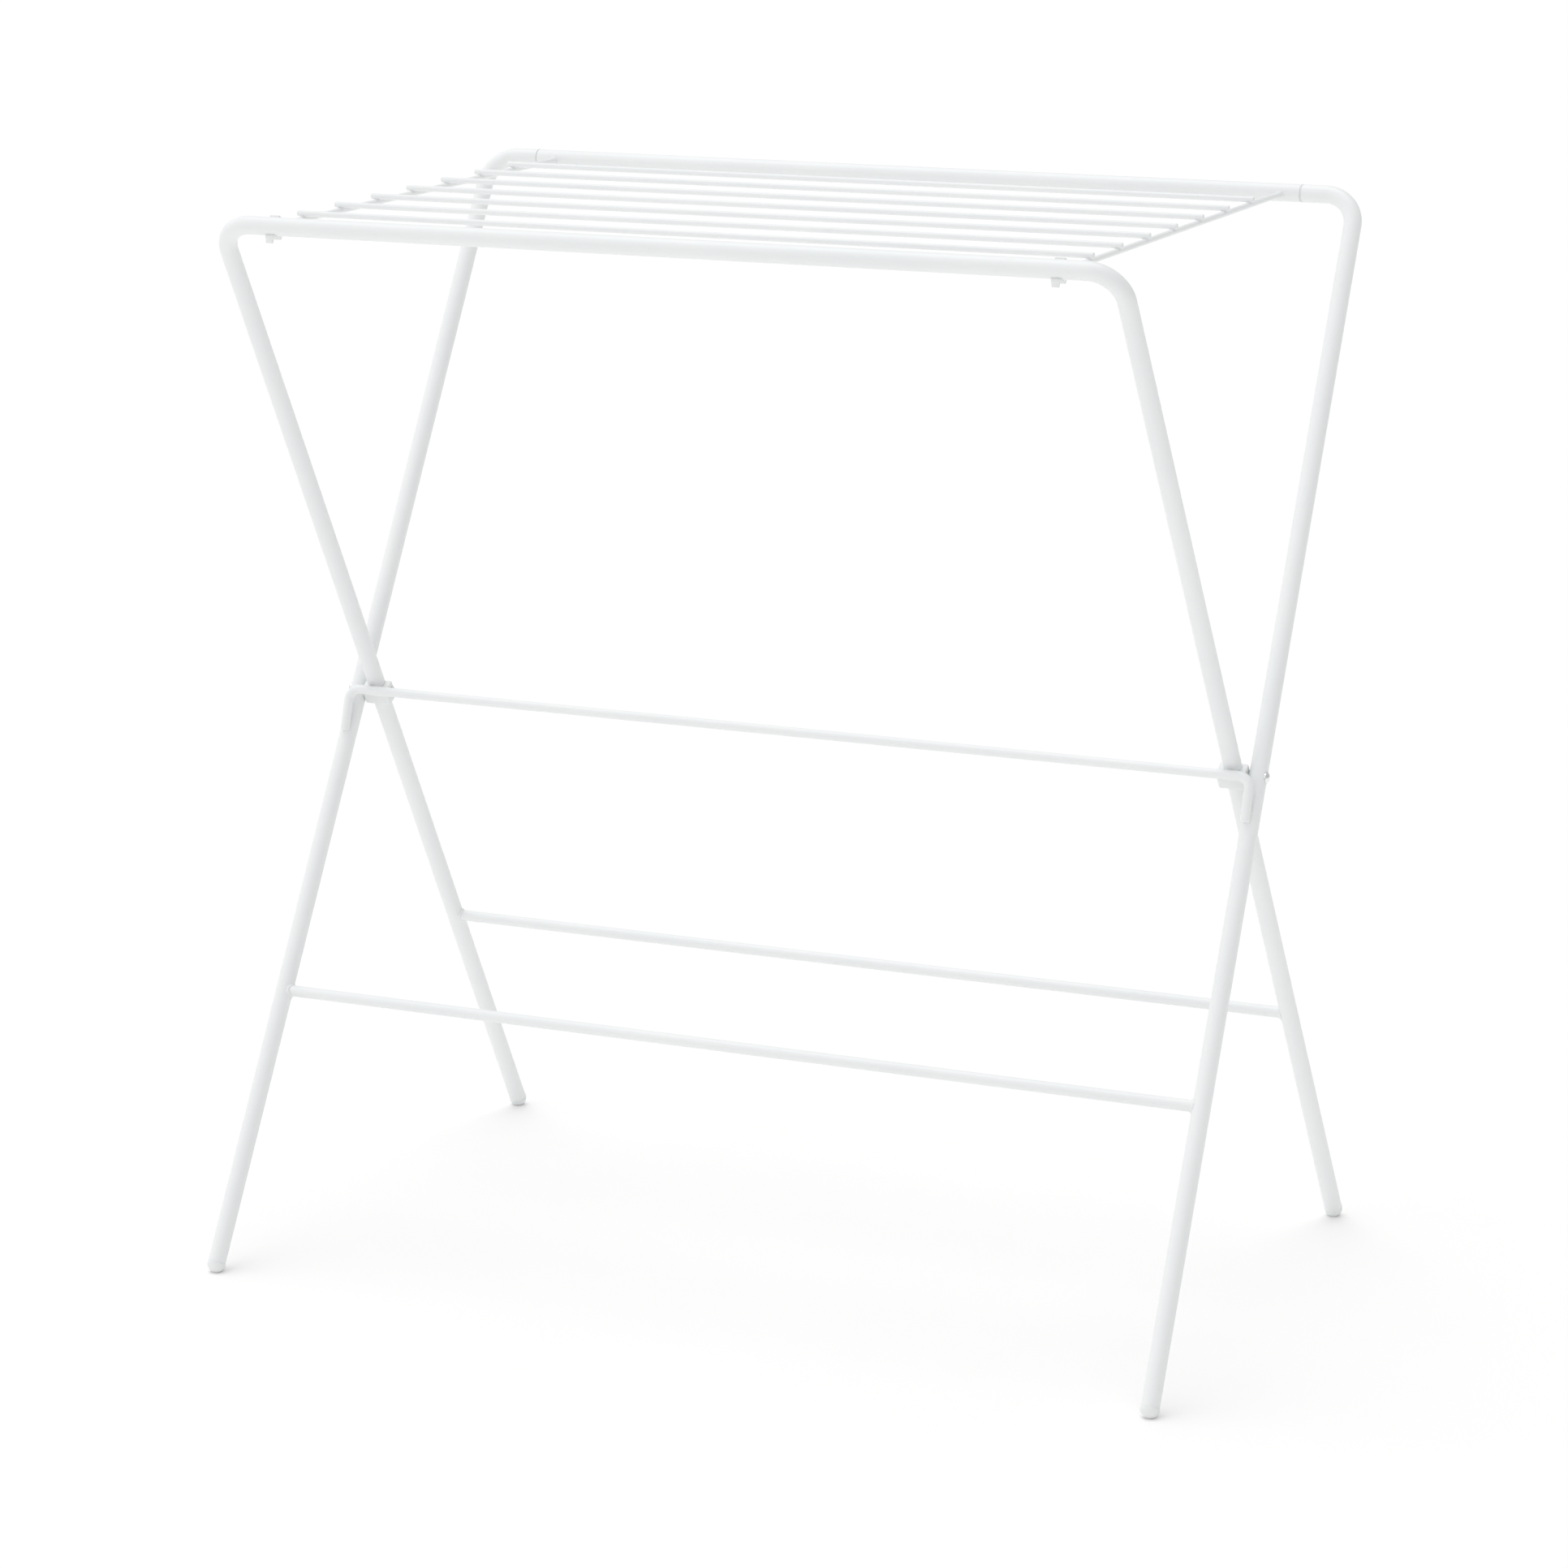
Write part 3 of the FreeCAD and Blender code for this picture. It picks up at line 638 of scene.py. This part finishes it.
def arc(centre, radius, start, stop, steps=16):
    """Points of a circular arc in the hook's plane, angles in degrees from the back."""
    turns = [math.radians(start + (stop - start) * k / steps) for k in range(steps + 1)]
    return [(centre[0] + radius * math.cos(t), centre[1] + radius * math.sin(t)) for t in turns]


def blend(first, pull, last, steps=8):
    """Points inside a smooth curve between two points, bent toward a third."""
    points = []
    for k in range(1, steps):
        t = k / steps
        points.append(tuple((1 - t) ** 2 * a + 2 * t * (1 - t) * b + t * t * c
                            for a, b, c in zip(first, pull, last)))
    return points


def hook_outline():
    """Outline of the hook about the tube's axis: round the back, with two lips hanging under it."""
    centre = (0, 0)
    back = arc(centre, HOOK_OUT, HOOK_TOP, -38, 24)
    back_lip = arc(BACK_LIP, LIP_R, 0, -180)
    under = arc(centre, HOOK_OUT, -66, -110, 12)
    front_lip = arc(FRONT_LIP, LIP_R, 0, -180)
    nose = [(NOSE_R * math.cos(NOSE_AT), NOSE_R * math.sin(NOSE_AT))]
    inside = arc(centre, HOOK_IN, HOOK_FRONT, HOOK_TOP, 56)
    return (back + blend(back[-1], (6.9 * MM, -6.6 * MM), back_lip[0]) + back_lip
            + blend(back_lip[-1], (4.9 * MM, -7.5 * MM), under[0]) + under
            + blend(under[-1], (-4.2 * MM, -7.9 * MM), front_lip[0]) + front_lip
            + blend(front_lip[-1], (-6.1 * MM, -7.4 * MM), nose[0]) + nose + inside)


def lip_taper(z):
    """The hook's width at a height over its full width: the lips narrow toward their ends."""
    rise = max(0.0, min(1.0, (z - LIP_END) / (LIP_ROOT - LIP_END)))
    width = LIP_HALF_WIDTH + (HOOK_HALF_WIDTH - LIP_HALF_WIDTH) * rise ** 2
    return width / HOOK_HALF_WIDTH


outline = hook_outline()
hook = Shell().skin([[front_tube + Vector((HOOK_HALF + offset, y, z)) for y, z in outline]
                     for offset in (-HOOK_HALF_WIDTH, HOOK_HALF_WIDTH)])


def rounded_box(low, high, rounding, steps=4):
    """A box with all its edges rounded."""
    rings = []
    levels = []
    for k in range(steps + 1):
        t = math.pi / 2 * k / steps
        levels.append((rounding * (1 - math.sin(t)), rounding * (1 - math.cos(t))))
    heights = [(inset, low.z + drop) for inset, drop in levels]
    heights += [(inset, high.z - drop) for inset, drop in reversed(levels)]
    for inset, z in heights:
        ring = []
        for cx, cy, start in ((high.x, high.y, 0), (low.x, high.y, 90), (low.x, low.y, 180),
                              (high.x, low.y, 270)):
            sx = -1 if cx == high.x else 1
            sy = -1 if cy == high.y else 1
            radius = rounding - inset
            for k in range(steps + 1):
                t = math.radians(start + 90 * k / steps)
                ring.append(Vector((cx + sx * rounding + radius * math.cos(t),
                                    cy + sy * rounding + radius * math.sin(t), z)))
        rings.append(ring)
    return Shell().skin(rings)


rest_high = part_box("grid_rest_right")[1]
block_front = -TOP_Y + (HOOK_IN + HOOK_OUT) / 2
block = rounded_box(Vector((BLOCK_IN, block_front, TOP_Z - BLOCK_BOTTOM)),
                    Vector((rest_high.x, rest_high.y, TOP_Z + BLOCK_TOP)), BLOCK_ROUND)

# The slot for the cross wire runs out past the block's top and back.
slot_half = WIRE_R + GAP
slot_top = BLOCK_TOP * 3
slot_section = ((-slot_half, -slot_half), (slot_half, -slot_half), (slot_half, slot_top),
                (-slot_half, slot_top))
slot = Shell().skin([[Vector((cross.x + x, -TOP_Y + y, cross.z + z)) for x, z in slot_section]
                     for y in (SLOT_FRONT, SLOT_FRONT * 3)])


def carve(parts, bevel):
    """Combine closed shells, each with the way it acts on the first, and soften the edges."""
    made = []
    for shell, action in parts:
        mesh = bpy.data.meshes.new("carving")
        mesh.from_pydata(shell.points, [], shell.faces)
        obj = bpy.data.objects.new("carving", mesh)
        bpy.context.scene.collection.objects.link(obj)
        finish_mesh(obj)
        made.append(obj)
        if action:
            acting = made[0].modifiers.new("carve", "BOOLEAN")
            acting.operation = action
            acting.solver = "EXACT"
            acting.object = obj
    softening = made[0].modifiers.new("soften", "BEVEL")
    softening.width = bevel
    softening.segments = 2
    softening.limit_method = "ANGLE"
    softening.angle_limit = math.radians(50)
    bpy.context.view_layer.update()
    result = made[0].evaluated_get(bpy.context.evaluated_depsgraph_get()).to_mesh()
    carved = Shell()
    carved.points = [v.co.copy() for v in result.vertices]
    carved.faces = [tuple(p.vertices) for p in result.polygons]
    for obj in made:
        bpy.data.objects.remove(obj)
    return carved


rest = carve(((hook, None), (block, "UNION"), (slot, "DIFFERENCE")), REST_EDGE)
for point in rest.points:
    point.x = HOOK_HALF + (point.x - HOOK_HALF) * lip_taper(point.z - TOP_Z)
for label, side in SIDES:
    piece(f"rest_{label}", sided(rest, side), *MOULDED, "inner_frame", f"grid_rest_{label}")

# ---- the studio ----

floor_mesh = bpy.data.meshes.new("floor")
floor_mesh.from_pydata([(-9, -9, 0), (9, -9, 0), (9, 15, 0), (-9, 15, 0)], [], [(0, 1, 2, 3)])
floor = bpy.data.objects.new("floor", floor_mesh)
bpy.context.scene.collection.objects.link(floor)
floor_material, tree, shader = start_material("pale_floor")
place = tree.nodes.new("ShaderNodeTexCoord").outputs["Object"]
floor_tint = add_mix(tree, add_noise(tree, place, 3, 2), (0.945, 0.935, 0.93), (0.965, 0.955, 0.95))
tree.links.new(floor_tint, shader.inputs["Base Color"])
shader.inputs["Roughness"].default_value = 0.9
shader.inputs["Specular IOR Level"].default_value = 0.1
floor_mesh.materials.append(floor_material)

# White round the rack for the camera. As light it is brighter from the upper left, as from a large
# softbox in a white room.
world = bpy.data.worlds.new("studio")
world.use_nodes = True
bpy.context.scene.world = world
tree = world.node_tree
room = tree.nodes["Background"]
backdrop = tree.nodes.new("ShaderNodeBackground")
backdrop.inputs["Color"].default_value = (1, 1, 1, 1)
toward = tree.nodes.new("ShaderNodeVectorMath")
toward.operation = "DOT_PRODUCT"
toward.inputs[1].default_value = Vector((-0.80, -0.30, 0.52)).normalized()
tree.links.new(tree.nodes.new("ShaderNodeTexCoord").outputs["Generated"], toward.inputs[0])
tree.links.new(add_range(tree, toward.outputs["Value"], 0.44, 1.06, -1.0, 1.0),
               room.inputs["Strength"])
room.inputs["Color"].default_value = (0.985, 0.995, 1.0, 1)
seen = tree.nodes.new("ShaderNodeMixShader")
tree.links.new(tree.nodes.new("ShaderNodeLightPath").outputs["Is Camera Ray"], seen.inputs[0])
tree.links.new(room.outputs[0], seen.inputs[1])
tree.links.new(backdrop.outputs[0], seen.inputs[2])
tree.links.new(seen.outputs[0], tree.nodes["World Output"].inputs["Surface"])

overhead_data = bpy.data.lights.new("overhead", "SUN")
overhead_data.energy = 0.72
overhead_data.angle = math.radians(50)
overhead = bpy.data.objects.new("overhead", overhead_data)
bpy.context.scene.collection.objects.link(overhead)
overhead.rotation_euler = (math.radians(-6), math.radians(-10), 0)

view_settings = bpy.context.scene.view_settings
view_settings.view_transform = "Standard"
view_settings.look = "None"

# ---- the camera, at the photograph's place ----

CAMERA_AT = Vector((1.52579, -3.34413, 1.29386))
YAW = math.radians(24.606)
PITCH = math.radians(13.943)
ROLL = math.radians(-0.3935)
SENSOR = 36.0
FOCAL_OVER_WIDTH = 5945.0 / 1932.0

forward = Vector((-math.sin(YAW) * math.cos(PITCH), math.cos(YAW) * math.cos(PITCH),
                  -math.sin(PITCH)))
level = Vector((math.cos(YAW), math.sin(YAW), 0))
upright = level.cross(forward)
right = level * math.cos(ROLL) + upright * math.sin(ROLL)
up = upright * math.cos(ROLL) - level * math.sin(ROLL)
camera_data = bpy.data.cameras.new("camera")
camera_data.sensor_width = SENSOR
camera_data.lens = SENSOR * FOCAL_OVER_WIDTH
camera_data.clip_start = 0.1
camera_data.clip_end = 60
camera = bpy.data.objects.new("camera", camera_data)
bpy.context.scene.collection.objects.link(camera)
camera.matrix_world = Matrix.Translation(CAMERA_AT) @ Matrix(
    (right, up, -forward)).transposed().to_4x4()
bpy.context.scene.camera = camera
